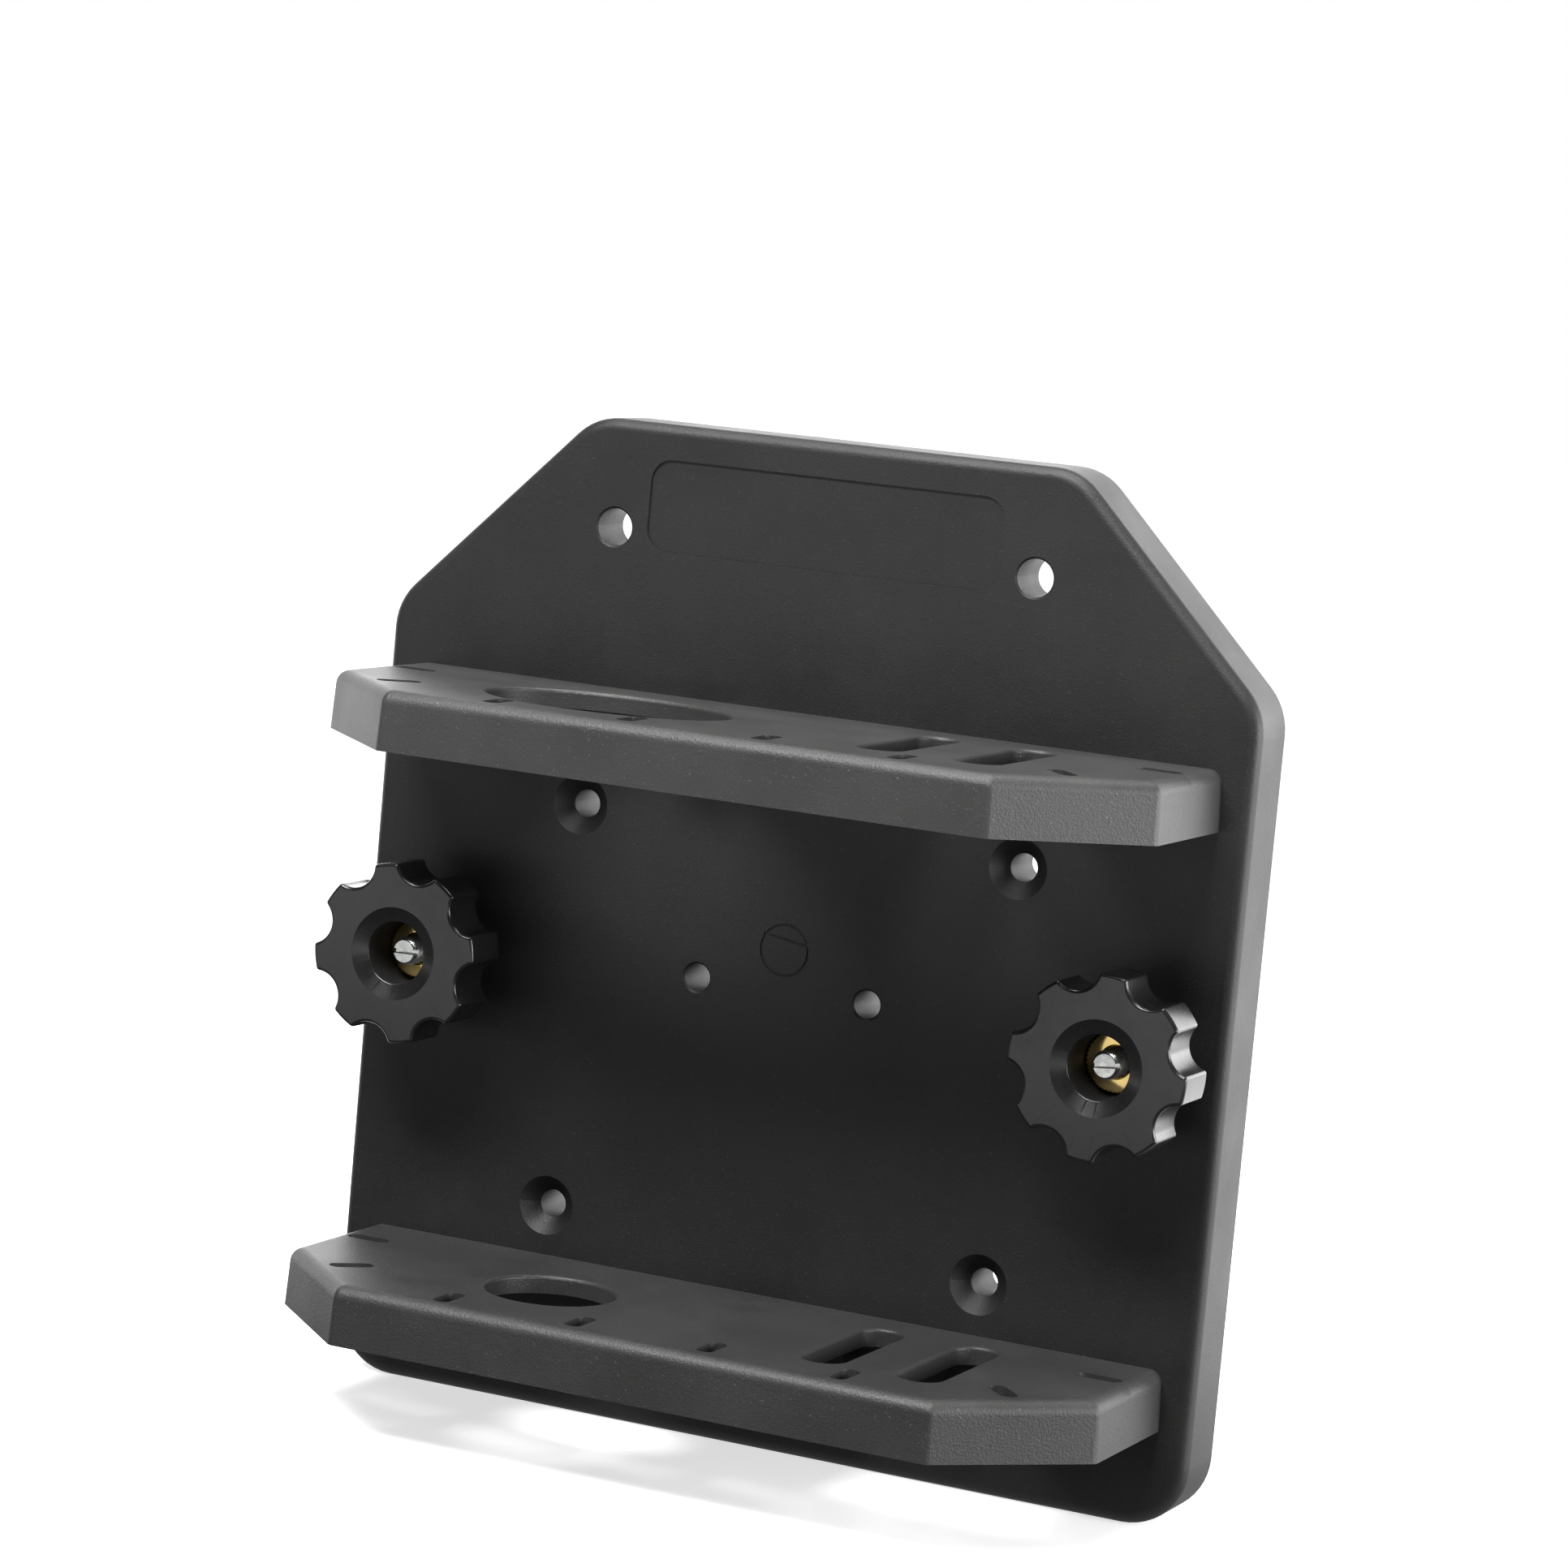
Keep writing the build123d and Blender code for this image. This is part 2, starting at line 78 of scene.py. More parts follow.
def noise_of(tree, scale, detail=2.0, roughness=0.5):
    """Noise in the object's own metres; scale is in features per metre."""
    place = tree.nodes.new("ShaderNodeTexCoord")
    texture = tree.nodes.new("ShaderNodeTexNoise")
    texture.inputs["Scale"].default_value = scale
    texture.inputs["Detail"].default_value = detail
    texture.inputs["Roughness"].default_value = roughness
    tree.links.new(place.outputs["Object"], texture.inputs["Vector"])
    return texture.outputs["Fac"]


def ramp_of(tree, source, low, high, from_low=0.3, from_high=0.7):
    """source stretched from its own range to low..high."""
    ramp = tree.nodes.new("ShaderNodeMapRange")
    ramp.inputs["From Min"].default_value = from_low
    ramp.inputs["From Max"].default_value = from_high
    ramp.inputs["To Min"].default_value = low
    ramp.inputs["To Max"].default_value = high
    tree.links.new(source, ramp.inputs["Value"])
    return ramp.outputs["Result"]


def colour_between(tree, factor, first, second):
    """A colour that runs from first, a colour or a socket, to the colour second with factor."""
    mix = tree.nodes.new("ShaderNodeMix")
    mix.data_type = "RGBA"
    if isinstance(first, tuple):
        mix.inputs["A"].default_value = (*first, 1)
    else:
        tree.links.new(first, mix.inputs["A"])
    mix.inputs["B"].default_value = (*second, 1)
    tree.links.new(factor, mix.inputs["Factor"])
    return mix.outputs["Result"]


def bump_of(tree, height, distance, under=None):
    """Bumps that follow the socket height, distance metres tall, on top of the normal under."""
    bump = tree.nodes.new("ShaderNodeBump")
    bump.inputs["Strength"].default_value = 1.0
    bump.inputs["Distance"].default_value = distance
    tree.links.new(height, bump.inputs["Height"])
    if under is not None:
        tree.links.new(under, bump.inputs["Normal"])
    return bump.outputs["Normal"]


def by_ray(tree, seen, unseen):
    """The shader seen for the camera's own rays, and unseen for all that light the object."""
    path = tree.nodes.new("ShaderNodeLightPath")
    choice = tree.nodes.new("ShaderNodeMixShader")
    tree.links.new(path.outputs["Is Camera Ray"], choice.inputs["Fac"])
    tree.links.new(unseen, choice.inputs[1])
    tree.links.new(seen, choice.inputs[2])
    return choice.outputs["Shader"]


# ---------------------------------------------------------------- materials
# noise scales, in features per metre
MOTTLE, WAVE, GRAIN, GLINT_SPECKS = 45.0, 60.0, 2000.0, 1900.0
HAZE, POLISH_MARKS = 220.0, 900.0
METAL_TONE, METAL_MARKS = 150.0, 900.0
# how much paler a painted glint speck is than the plastic round it, and the noise levels between which
# it appears
GLINT_GAIN, GLINT_FROM, GLINT_TO = 4, 0.66, 0.76


def grained_plastic(name, dark, light, roughness, grain_height):
    """Black plastic from a spark-eroded mould: fine grain and pale painted glints of that grain over a
    faint flow mottle.
    """
    material, tree, shader = new_material(name)
    mottle = noise_of(tree, MOTTLE, 4.0, 0.6)
    grain = noise_of(tree, GRAIN, 3.0, 0.65)
    ground = colour_between(tree, ramp_of(tree, mottle, 0.0, 1.0), dark, light)
    # pale specks painted into the colour as glints of the grain
    specks = ramp_of(tree, noise_of(tree, GLINT_SPECKS, 2.0, 0.7), 0.0, 1.0, GLINT_FROM, GLINT_TO)
    colour = colour_between(tree, specks, ground, tuple(GLINT_GAIN * value for value in light))
    tree.links.new(colour, shader.inputs["Base Color"])
    tree.links.new(ramp_of(tree, mottle, roughness - 0.04, roughness + 0.05), shader.inputs["Roughness"])
    wave = bump_of(tree, noise_of(tree, WAVE, 1.0), 0.05 * MM)
    tree.links.new(bump_of(tree, grain, grain_height, wave), shader.inputs["Normal"])
    shader.inputs["IOR"].default_value = 1.5
    return material


def polished_plastic(name, roughness):
    """Black thermoset with faint polishing haze."""
    material, tree, shader = new_material(name)
    haze = noise_of(tree, HAZE, 4.0, 0.6)
    tone = ramp_of(tree, haze, 0.0, 1.0)
    colour = colour_between(tree, tone, (0.007, 0.007, 0.007), (0.010, 0.010, 0.010))
    tree.links.new(colour, shader.inputs["Base Color"])
    tree.links.new(ramp_of(tree, haze, roughness - 0.03, roughness + 0.03), shader.inputs["Roughness"])
    tree.links.new(bump_of(tree, noise_of(tree, POLISH_MARKS, 2.0), 0.004 * MM), shader.inputs["Normal"])
    shader.inputs["IOR"].default_value = 1.55
    return material


def turned_metal(name, dark, light, roughness, mark_height=0.02 * MM):
    """Plated or turned metal with fine machining marks."""
    material, tree, shader = new_material(name)
    marks = noise_of(tree, METAL_MARKS, 4.0, 0.6)
    tone = noise_of(tree, METAL_TONE, 3.0, 0.6)
    colour = colour_between(tree, ramp_of(tree, tone, 0.0, 1.0), dark, light)
    tree.links.new(colour, shader.inputs["Base Color"])
    tree.links.new(ramp_of(tree, marks, roughness * 0.8, roughness * 1.3), shader.inputs["Roughness"])
    tree.links.new(bump_of(tree, marks, mark_height), shader.inputs["Normal"])
    shader.inputs["Metallic"].default_value = 1.0
    return material


# The board and the shelves are the same black plastic. The board's copy is painted about four times
# darker as shade, and the shelves' copy is painted paler as the light falling on them.
BOARD = grained_plastic(
    "board_plastic_painted_shade", (0.0065, 0.0065, 0.0063), (0.0095, 0.0094, 0.009), 0.52, 0.08 * MM
)
SHELF = grained_plastic(
    "shelf_plastic_painted_light", (0.027, 0.0265, 0.026), (0.035, 0.0345, 0.034), 0.46, 0.11 * MM
)
GLOSS = polished_plastic("knob_plastic", 0.255)
BORE_WALL = polished_plastic("knob_bore_plastic", 0.6)
BRASS = turned_metal("brass", (0.5, 0.36, 0.13), (0.66, 0.5, 0.22), 0.1, 0.005 * MM)
ZINC = turned_metal("zinc", (0.52, 0.53, 0.52), (0.72, 0.73, 0.71), 0.28)
DULL_ZINC = turned_metal("dull_zinc", (0.15, 0.152, 0.15), (0.22, 0.222, 0.215), 0.42)


def paint(item, material):
    """Gives an object one material all over."""
    item.data.materials.clear()
    item.data.materials.append(material)


paint(nodes["back_plate"], BOARD)
paint(nodes["upper_shelf"], SHELF)
paint(nodes["lower_shelf"], SHELF)


# ---------------------------------------------------------------- mesh helpers
def mesh_from(name, shape):
    """Turns an edited bmesh into mesh data with outward normals."""
    bmesh.ops.recalc_face_normals(shape, faces=shape.faces)
    mesh = bpy.data.meshes.new(name)
    shape.to_mesh(mesh)
    shape.free()
    return mesh


def add_piece(name, mesh, material, body, replaced, smooth_angle=32.0):
    """A finished mesh object that rides on a body and stands for a CAD node.

    Edges sharper than smooth_angle, in degrees, stay sharp.
    """
    piece = bpy.data.objects.new(name, mesh)
    SCENE.collection.objects.link(piece)
    paint(piece, material)
    mesh.polygons.foreach_set("use_smooth", [True] * len(mesh.polygons))
    mesh.set_sharp_from_angle(angle=math.radians(smooth_angle))
    weighted = piece.modifiers.new("weighted", "WEIGHTED_NORMAL")
    weighted.keep_sharp = True
    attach(piece, body)
    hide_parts(replaced)
    return piece


def ring_solid(shape, axis, outline, profile, closed=True):
    """Rings of points joined into a solid round the axis, which runs along Y through the point axis.

    outline is a list of (point, outward direction) pairs. Each step of profile is (kind, value, y): an
    "outline" step is the outline moved inward by value, and a "circle" step is a circle of that radius.
    """
    rows = []
    for kind, value, y in profile:
        row = []
        for point, outward in outline:
            spot = point - outward * value if kind == "outline" else point.normalized() * value
            row.append(shape.verts.new((axis.x + spot.x, y, axis.z + spot.y)))
        rows.append(row)
    after_rows = rows[1:] + (rows[:1] if closed else [])
    count = len(outline)
    for row, after in zip(rows, after_rows):
        for i in range(count):
            j = (i + 1) % count
            shape.faces.new((row[i], row[j], after[j], after[i]))
    if not closed:
        shape.faces.new(rows[0])
        shape.faces.new(rows[-1])


def round_outline(count, radius_of=lambda step: 1.0):
    """A circle as an outline; radius_of gives each step's own radius."""
    outline = []
    for step in range(count):
        angle = 2 * math.pi * step / count
        outward = Vector((math.cos(angle), math.sin(angle)))
        outline.append((outward * radius_of(step), outward))
    return outline


def quarter_turn(radius, y_start, y_end, steps=6):
    """Profile steps of a rounded edge, from the face at y_start to the side at y_end."""
    out = []
    for step in range(steps + 1):
        angle = math.pi / 2 * step / steps
        inset = radius * (1 - math.sin(angle))
        out.append(("outline", inset, y_end + (y_start - y_end) * math.cos(angle)))
    return out


def centre_of(node):
    """The centre of a CAD node's box."""
    low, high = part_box(node)
    return (low + high) / 2


def front_and_back(node):
    """The y of a CAD node's front and of its back."""
    low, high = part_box(node)
    return low.y, high.y


def carve(mesh, cutters):
    """Cuts closed cutter meshes out of a mesh."""
    solid = bpy.data.objects.new("carved", mesh)
    SCENE.collection.objects.link(solid)
    holders = []
    for index, cutter in enumerate(cutters):
        holder = bpy.data.objects.new(f"cutter_{index}", cutter)
        SCENE.collection.objects.link(holder)
        holders.append(holder)
        cut = solid.modifiers.new(f"cut_{index}", "BOOLEAN")
        cut.operation = "DIFFERENCE"
        cut.solver = "EXACT"
        cut.object = holder
    depsgraph = bpy.context.evaluated_depsgraph_get()
    result = bpy.data.meshes.new_from_object(solid.evaluated_get(depsgraph))
    for item in [solid, *holders]:
        bpy.data.objects.remove(item)
    return result


def block_mesh(name, centre, size, turn=0.0):
    """A box, turned about the Y axis through its own centre."""
    shape = bmesh.new()
    place = Matrix.Translation(centre) @ Matrix.Rotation(turn, 4, "Y") @ Matrix.Diagonal((*size, 1.0))
    bmesh.ops.create_cube(shape, size=1.0, matrix=place)
    return mesh_from(name, shape)


# ---------------------------------------------------------------- knobs
KNOB_RADIUS, LOBES = 20.0 * MM, 8
SCALLOP_RADIUS, SCALLOP_CENTRE = 5.4 * MM, 22.0 * MM
LOBE_ROUNDING, KNOB_EDGE = 0.8 * MM, 0.8 * MM
KNOB_THICKNESS = 12.7 * MM
HUB_RADIUS, HUB_EDGE = 10.5 * MM, 0.4 * MM
DISH_RADIUS, DISH_STEP, DISH_DEPTH = 10.3 * MM, 0.1 * MM, 1.4 * MM
BORE_RADIUS, BORE_LIP, BORE_EDGE = 6.9 * MM, 0.5 * MM, 0.3 * MM
STUD_RADIUS, STUD_HOLE_RADIUS = 3.175 * MM, 3.5 * MM
# flat ring left round the dish, so that the lobed face meets a circle
FACE_RING = 1.2 * MM
# a little less than LOBE_ROUNDING, because there the outline's lobes shrink to a point
FACE_ROUNDING = 0.98 * KNOB_EDGE
KNOB_TURNS = {"left": math.radians(32.5), "right": math.radians(17.0)}


def knob_outline(turned_by):
    """One round of the knob's edge: for each lobe a hollow, a rounding, the lobe and a rounding."""
    # the rounding circle touches the knob's circle from inside and the hollow's from outside
    reach, apart = KNOB_RADIUS - LOBE_ROUNDING, SCALLOP_RADIUS + LOBE_ROUNDING
    along = (reach**2 + SCALLOP_CENTRE**2 - apart**2) / (2 * SCALLOP_CENTRE)
    across = math.sqrt(reach**2 - along**2)
    lean = math.atan2(across, along)
    hollow_end = math.atan2(across, along - SCALLOP_CENTRE)
    pitch = 2 * math.pi / LOBES
    next_rounding = Matrix.Rotation(pitch, 2) @ Vector((along, -across))
    arcs = [
        (Vector((SCALLOP_CENTRE, 0)), SCALLOP_RADIUS, 2 * math.pi - hollow_end, hollow_end, 14, -1),
        (Vector((along, across)), LOBE_ROUNDING, hollow_end - math.pi, lean, 6, 1),
        (Vector((0, 0)), KNOB_RADIUS, lean, pitch - lean, 8, 1),
        (next_rounding, LOBE_ROUNDING, pitch - lean, pitch + math.pi - hollow_end, 6, 1),
    ]
    outline = []
    for lobe in range(LOBES):
        turn = Matrix.Rotation(turned_by + lobe * pitch, 2)
        for centre, radius, start, end, steps, sign in arcs:
            for step in range(steps):
                angle = start + (end - start) * step / steps
                outward = Vector((math.cos(angle), math.sin(angle)))
                outline.append((turn @ (centre + outward * radius), turn @ (outward * sign)))
    return outline


def rounded_lip(start, steps=6):
    """The bore's mouth, rounded over from the dish into the bore."""
    out = []
    for step in range(steps + 1):
        angle = math.pi / 2 * step / steps
        radius = BORE_RADIUS + BORE_LIP * (1 - math.sin(angle))
        out.append(("circle", radius, start + BORE_LIP * (1 - math.cos(angle))))
    return out


def make_knob(side):
    """The lobed knob, from the hub's back round the outside to the face, and down the bore."""
    node = f"{side}_knob"
    axis = centre_of(f"{side}_knob_insert")
    face, hub_back = front_and_back(node)
    insert_front, insert_back = front_and_back(f"{side}_knob_insert")
    back = face + KNOB_THICKNESS
    hub_step, lip = HUB_EDGE / 2, face + DISH_DEPTH
    profile = [
        ("circle", STUD_HOLE_RADIUS + BORE_EDGE, hub_back),
        ("circle", HUB_RADIUS - HUB_EDGE, hub_back),
        ("circle", HUB_RADIUS - hub_step / 2, hub_back - hub_step / 2),
        ("circle", HUB_RADIUS, hub_back - HUB_EDGE),
        ("circle", HUB_RADIUS, back + HUB_EDGE),
        ("circle", HUB_RADIUS + hub_step, back + hub_step / 2),
        ("circle", HUB_RADIUS + HUB_EDGE * 1.5, back),
        *quarter_turn(FACE_ROUNDING, back, back - KNOB_EDGE),
        ("outline", 0.0, (face + back) / 2),
        *reversed(quarter_turn(FACE_ROUNDING, face, face + KNOB_EDGE)),
        ("circle", DISH_RADIUS + FACE_RING, face),
        ("circle", DISH_RADIUS, face),
        ("circle", DISH_RADIUS, face + DISH_STEP),
        *rounded_lip(lip),
        ("circle", BORE_RADIUS, insert_front),
        ("circle", BORE_RADIUS, insert_back),
        ("circle", STUD_HOLE_RADIUS, insert_back),
        ("circle", STUD_HOLE_RADIUS, hub_back - BORE_EDGE),
    ]
    shape = bmesh.new()
    ring_solid(shape, axis, knob_outline(KNOB_TURNS[side]), profile)
    mesh = mesh_from(node, shape)
    knob = add_piece(f"{side}_hand_knob", mesh, GLOSS, f"{side}_knob", node)
    # the bore's wall is duller than the rest
    knob.data.materials.append(BORE_WALL)
    for polygon in knob.data.polygons:
        offset = Vector((polygon.center.x - axis.x, polygon.center.z - axis.z))
        inside = offset.length < BORE_RADIUS + BORE_LIP / 10
        polygon.material_index = 1 if inside and polygon.center.y < insert_back else 0


# ---------------------------------------------------------------- brass inserts
KNURL_TEETH, KNURL_DEPTH = 40, 0.4 * MM
KNURL_SHAPE = (0.0, 0.5, 1.0, 0.5)
INSERT_GROOVES, GROOVE_HALF, GROOVE_RADIUS = 3, 0.4 * MM, BORE_RADIUS - 1.2 * KNURL_DEPTH
INSERT_MOUTH, INSERT_EDGE, TAP_CLEARANCE = 0.5 * MM, 0.25 * MM, 0.05 * MM


def make_insert(side):
    """A knurled and grooved bush."""
    node = f"{side}_knob_insert"
    axis = centre_of(node)
    front, back = front_and_back(node)
    hole = STUD_RADIUS + TAP_CLEARANCE
    teeth = round_outline(
        KNURL_TEETH * len(KNURL_SHAPE),
        lambda step: BORE_RADIUS - KNURL_DEPTH * KNURL_SHAPE[step % len(KNURL_SHAPE)],
    )
    profile = [
        ("circle", hole, back - INSERT_MOUTH),
        ("circle", hole, front + INSERT_MOUTH),
        ("circle", hole + INSERT_MOUTH, front),
        ("outline", INSERT_EDGE, front),
        ("outline", 0.0, front + INSERT_EDGE),
    ]
    for groove in range(1, INSERT_GROOVES + 1):
        middle = front + (back - front) * groove / (INSERT_GROOVES + 1)
        profile += [
            ("outline", 0.0, middle - GROOVE_HALF),
            ("circle", GROOVE_RADIUS, middle - GROOVE_HALF / 2),
            ("circle", GROOVE_RADIUS, middle + GROOVE_HALF / 2),
            ("outline", 0.0, middle + GROOVE_HALF),
        ]
    profile += [
        ("outline", 0.0, back - INSERT_EDGE),
        ("outline", INSERT_EDGE, back),
        ("circle", hole + INSERT_MOUTH, back),
    ]
    shape = bmesh.new()
    ring_solid(shape, axis, teeth, profile)
    add_piece(f"{side}_brass_bush", mesh_from(node, shape), BRASS, f"{side}_knob", node)


# ---------------------------------------------------------------- threaded studs
THREAD_PITCH, THREAD_DEPTH = 1.27 * MM, 0.62 * MM
# one thread as (place along the pitch, height out of the root)
THREAD_SHAPE = ((0.0, 0.0), (0.14, 0.04), (0.28, 0.5), (0.42, 1.0), (0.58, 1.0), (0.72, 0.5))
# SPARE_TURNS are whole turns beyond the rod's ends, which are cut off again
THREAD_COLUMNS, SPARE_TURNS = 48, 2
TIP_BEVEL, WELD = 0.7 * MM, 0.002 * MM
STUD_SMOOTH_ANGLE = 40.0
SLOT_WIDTH, SLOT_DEPTH = 1.1 * MM, 1.6 * MM
SLOT_TURNS = {"left": math.radians(-2.0), "right": math.radians(-6.0)}


def threaded_rod(axis, front, back):
    """A rod along Y with a true helical thread and flat, bevelled ends."""
    shape = bmesh.new()
    per_turn = len(THREAD_SHAPE)
    turns = math.ceil((back - front) / THREAD_PITCH) + SPARE_TURNS
    rows = []
    for index in range((turns + 1) * per_turn):
        along, height = THREAD_SHAPE[index % per_turn]
        radius = STUD_RADIUS - THREAD_DEPTH * (1 - height)
        row = []
        for column in range(THREAD_COLUMNS):
            angle = 2 * math.pi * column / THREAD_COLUMNS
            x, z = axis.x + radius * math.cos(angle), axis.z + radius * math.sin(angle)
            turns_done = index // per_turn + along + column / THREAD_COLUMNS - SPARE_TURNS
            y = front + turns_done * THREAD_PITCH
            row.append(shape.verts.new((x, y, z)))
        rows.append(row)
    for index in range(turns * per_turn - 1):
        for column in range(THREAD_COLUMNS - 1):
            row, after = rows[index], rows[index + 1]
            shape.faces.new((row[column], row[column + 1], after[column + 1], after[column]))
        # the last column meets the first one a whole turn further on
        here, there = rows[index], rows[index + per_turn]
        below, beyond = rows[index + 1], rows[index + 1 + per_turn]
        shape.faces.new((here[-1], there[0], beyond[0], below[-1]))
    # cut the ends off flat, with a ring of edges where each bevel starts
    for limit, outward in ((front, -1), (back, 1)):
        everything = [*shape.verts, *shape.edges, *shape.faces]
        bevel_start = (0, limit - outward * TIP_BEVEL, 0)
        bmesh.ops.bisect_plane(shape, geom=everything, plane_co=bevel_start, plane_no=(0, 1, 0))
        everything = [*shape.verts, *shape.edges, *shape.faces]
        cut = bmesh.ops.bisect_plane(
            shape, geom=everything, plane_co=(0, limit, 0), plane_no=(0, outward, 0), clear_outer=True
        )
        rim = [item for item in cut["geom_cut"] if isinstance(item, bmesh.types.BMEdge)]
        bmesh.ops.edgeloop_fill(shape, edges=rim)
    for vert in shape.verts:
        depth = min(vert.co.y - front, back - vert.co.y)
        offset = Vector((vert.co.x - axis.x, vert.co.z - axis.z))
        most = STUD_RADIUS - TIP_BEVEL + depth
        if offset.length > most:
            offset *= most / offset.length
            vert.co.x, vert.co.z = axis.x + offset.x, axis.z + offset.y
    bmesh.ops.remove_doubles(shape, verts=shape.verts, dist=WELD)
    return shape


def make_stud(side):
    """The threaded stud with a screwdriver slot in its front end."""
    node = f"{side}_clamp_stud"
    axis = centre_of(node)
    front, back = front_and_back(node)
    rod = mesh_from(node, threaded_rod(axis, front, back))
    cutter = block_mesh(
        "slot_cutter",
        (axis.x, front, axis.z),
        (3 * STUD_RADIUS, 2 * SLOT_DEPTH, SLOT_WIDTH),
        SLOT_TURNS[side],
    )
    mesh = carve(rod, [cutter])
    clamp = f"{side}_clamp"
    add_piece(f"{side}_slotted_stud", mesh, ZINC, clamp, node, STUD_SMOOTH_ANGLE)


# ---------------------------------------------------------------- washers and clamp nuts
WASHER_RADIUS, WASHER_EDGE, WASHER_EDGE_MIDDLE = 8.5 * MM, 0.25 * MM, 0.07 * MM
WASHER_SIDES = 72
NUT_CORNER, NUT_EDGE, NUT_FRONT_ROUNDING, NUT_MOUTH = 1.5 * MM, 0.8 * MM, 0.3 * MM, 0.6 * MM


def make_washer(side):
    """A stamped washer, rounded at the front of its rim."""
    node = f"{side}_washer"
    axis = centre_of(node)
    front, back = front_and_back(node)
    profile = [
        ("circle", STUD_HOLE_RADIUS, front + WASHER_EDGE),
        ("circle", STUD_HOLE_RADIUS + WASHER_EDGE, front),
        ("circle", WASHER_RADIUS - WASHER_EDGE, front),
        ("circle", WASHER_RADIUS - WASHER_EDGE_MIDDLE, front + WASHER_EDGE_MIDDLE),
        ("circle", WASHER_RADIUS, front + WASHER_EDGE),
        ("circle", WASHER_RADIUS, back),
        ("circle", STUD_HOLE_RADIUS, back),
    ]
    shape = bmesh.new()
    ring_solid(shape, axis, round_outline(WASHER_SIDES), profile)
    add_piece(f"{side}_plain_washer", mesh_from(node, shape), ZINC, "board", node)


def rounded_rectangle(width, height, radius, steps=10):
    """An outline of even density: quarter circles joined by straight sides."""
    outline = []
    for corner in range(4):
        base = corner * math.pi / 2
        sign_x = 1 if corner in (0, 3) else -1
        sign_z = 1 if corner in (0, 1) else -1
        centre = Vector((sign_x * (width / 2 - radius), sign_z * (height / 2 - radius)))
        for step in range(steps + 1):
            angle = base + math.pi / 2 * step / steps
            outward = Vector((math.cos(angle), math.sin(angle)))
            outline.append((centre + outward * radius, outward))
        # points along the straight side that follows
        next_x = 1 if corner in (2, 3) else -1
        next_z = 1 if corner in (3, 0) else -1
        goal = Vector((next_x * (width / 2 - radius), next_z * (height / 2 - radius)))
        outward = Vector((math.cos(base + math.pi / 2), math.sin(base + math.pi / 2)))
        for step in range(1, steps):
            outline.append((centre.lerp(goal, step / steps) + outward * radius, outward))
    return outline


def make_nut(side):
    """A flat nut with rounded corners and a bevelled back."""
    node = f"{side}_clamp_nut"
    axis = centre_of(node)
    low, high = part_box(node)
    profile = [
        ("circle", STUD_RADIUS, high.y - NUT_MOUTH),
        ("circle", STUD_RADIUS, low.y + NUT_MOUTH),
        ("circle", STUD_RADIUS + NUT_MOUTH, low.y),
        *quarter_turn(NUT_FRONT_ROUNDING, low.y, low.y + NUT_FRONT_ROUNDING, 3),
        ("outline", 0.0, high.y - NUT_EDGE),
        ("outline", NUT_EDGE * 0.5, high.y - NUT_EDGE * 0.4),
        ("outline", NUT_EDGE, high.y),
        ("circle", STUD_RADIUS + NUT_MOUTH, high.y),
    ]
    shape = bmesh.new()
    outline = rounded_rectangle(high.x - low.x, high.z - low.z, NUT_CORNER)
    ring_solid(shape, axis, outline, profile)
    mesh = mesh_from(node, shape)
    add_piece(f"{side}_rail_nut", mesh, DULL_ZINC, f"{side}_clamp", node)


# ---------------------------------------------------------------- shelf screws
SCREW_XS = (-78.0 * MM, -24.0 * MM, 24.0 * MM, 78.0 * MM)
SHANK_RADIUS, HEAD_RADIUS, HEAD_HEIGHT = 1.97 * MM, 4.0 * MM, 2.9 * MM
SCREW_SIDES = 48
POINT_RADIUS, POINT_LENGTH = 0.8 * MM, 1.2 * MM
# the head's edge: how far in and how far down its rounding reaches, and the bevel under it
DOME_WIDTH, DOME_DROP, DOME_STEPS, HEAD_BEVEL = 1.9 * MM, 1.1 * MM, 6, 0.1 * MM
RECESS_LENGTH, RECESS_WIDTH, RECESS_DEPTH = 4.4 * MM, 0.95 * MM, 1.7 * MM
RECESS_TURNS = (math.radians(20), math.radians(110))
# each screw stopped at its own angle, in radians for each metre along the row
STOP_TURN = 40.0


def make_screws(shelf):
    """The four cross-recessed screws of a shelf, as one mesh."""
    node = f"{shelf}_screws"
    low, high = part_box(node)
    height = (low.z + high.z) / 2
    seat = high.y - HEAD_HEIGHT
    shape = bmesh.new()
    profile = [
        ("circle", POINT_RADIUS, low.y),
        ("circle", SHANK_RADIUS, low.y + POINT_LENGTH),
        ("circle", SHANK_RADIUS, seat),
        ("circle", HEAD_RADIUS - HEAD_BEVEL, seat),
        ("circle", HEAD_RADIUS, seat + HEAD_BEVEL),
        ("circle", HEAD_RADIUS, high.y - DOME_DROP),
    ]
    for step in range(1, DOME_STEPS + 1):
        angle = math.pi / 2 * step / DOME_STEPS
        drop = DOME_DROP * (1 - math.sin(angle))
        profile.append(("circle", HEAD_RADIUS - DOME_WIDTH * (1 - math.cos(angle)), high.y - drop))
    cutters = []
    for x in SCREW_XS:
        ring_solid(shape, Vector((x, 0, height)), round_outline(SCREW_SIDES), profile, closed=False)
        for turn in RECESS_TURNS:
            place = (x, high.y, height)
            size = (RECESS_LENGTH, 2 * RECESS_DEPTH, RECESS_WIDTH)
            cutters.append(block_mesh("recess_cutter", place, size, turn + x * STOP_TURN))
    screws = carve(mesh_from(node, shape), cutters)
    add_piece(f"{shelf}_pan_heads", screws, DULL_ZINC, "board", node)


for side in ("left", "right"):
    make_knob(side)
    make_insert(side)
    make_stud(side)
    make_washer(side)
    make_nut(side)
for shelf in ("upper_shelf", "lower_shelf"):
    make_screws(shelf)


# ---------------------------------------------------------------- camera
# the image's right and down in the frame, and where the camera stands
VIEW_RIGHT = Vector((0.90394, 0.41823, 0.08930))
VIEW_DOWN = Vector((0.12908, -0.06775, -0.98932))
VIEW_PLACE = Vector((0.4423, -1.0069, 0.1622))
LENS, SENSOR_WIDTH = 115.6, 36.0

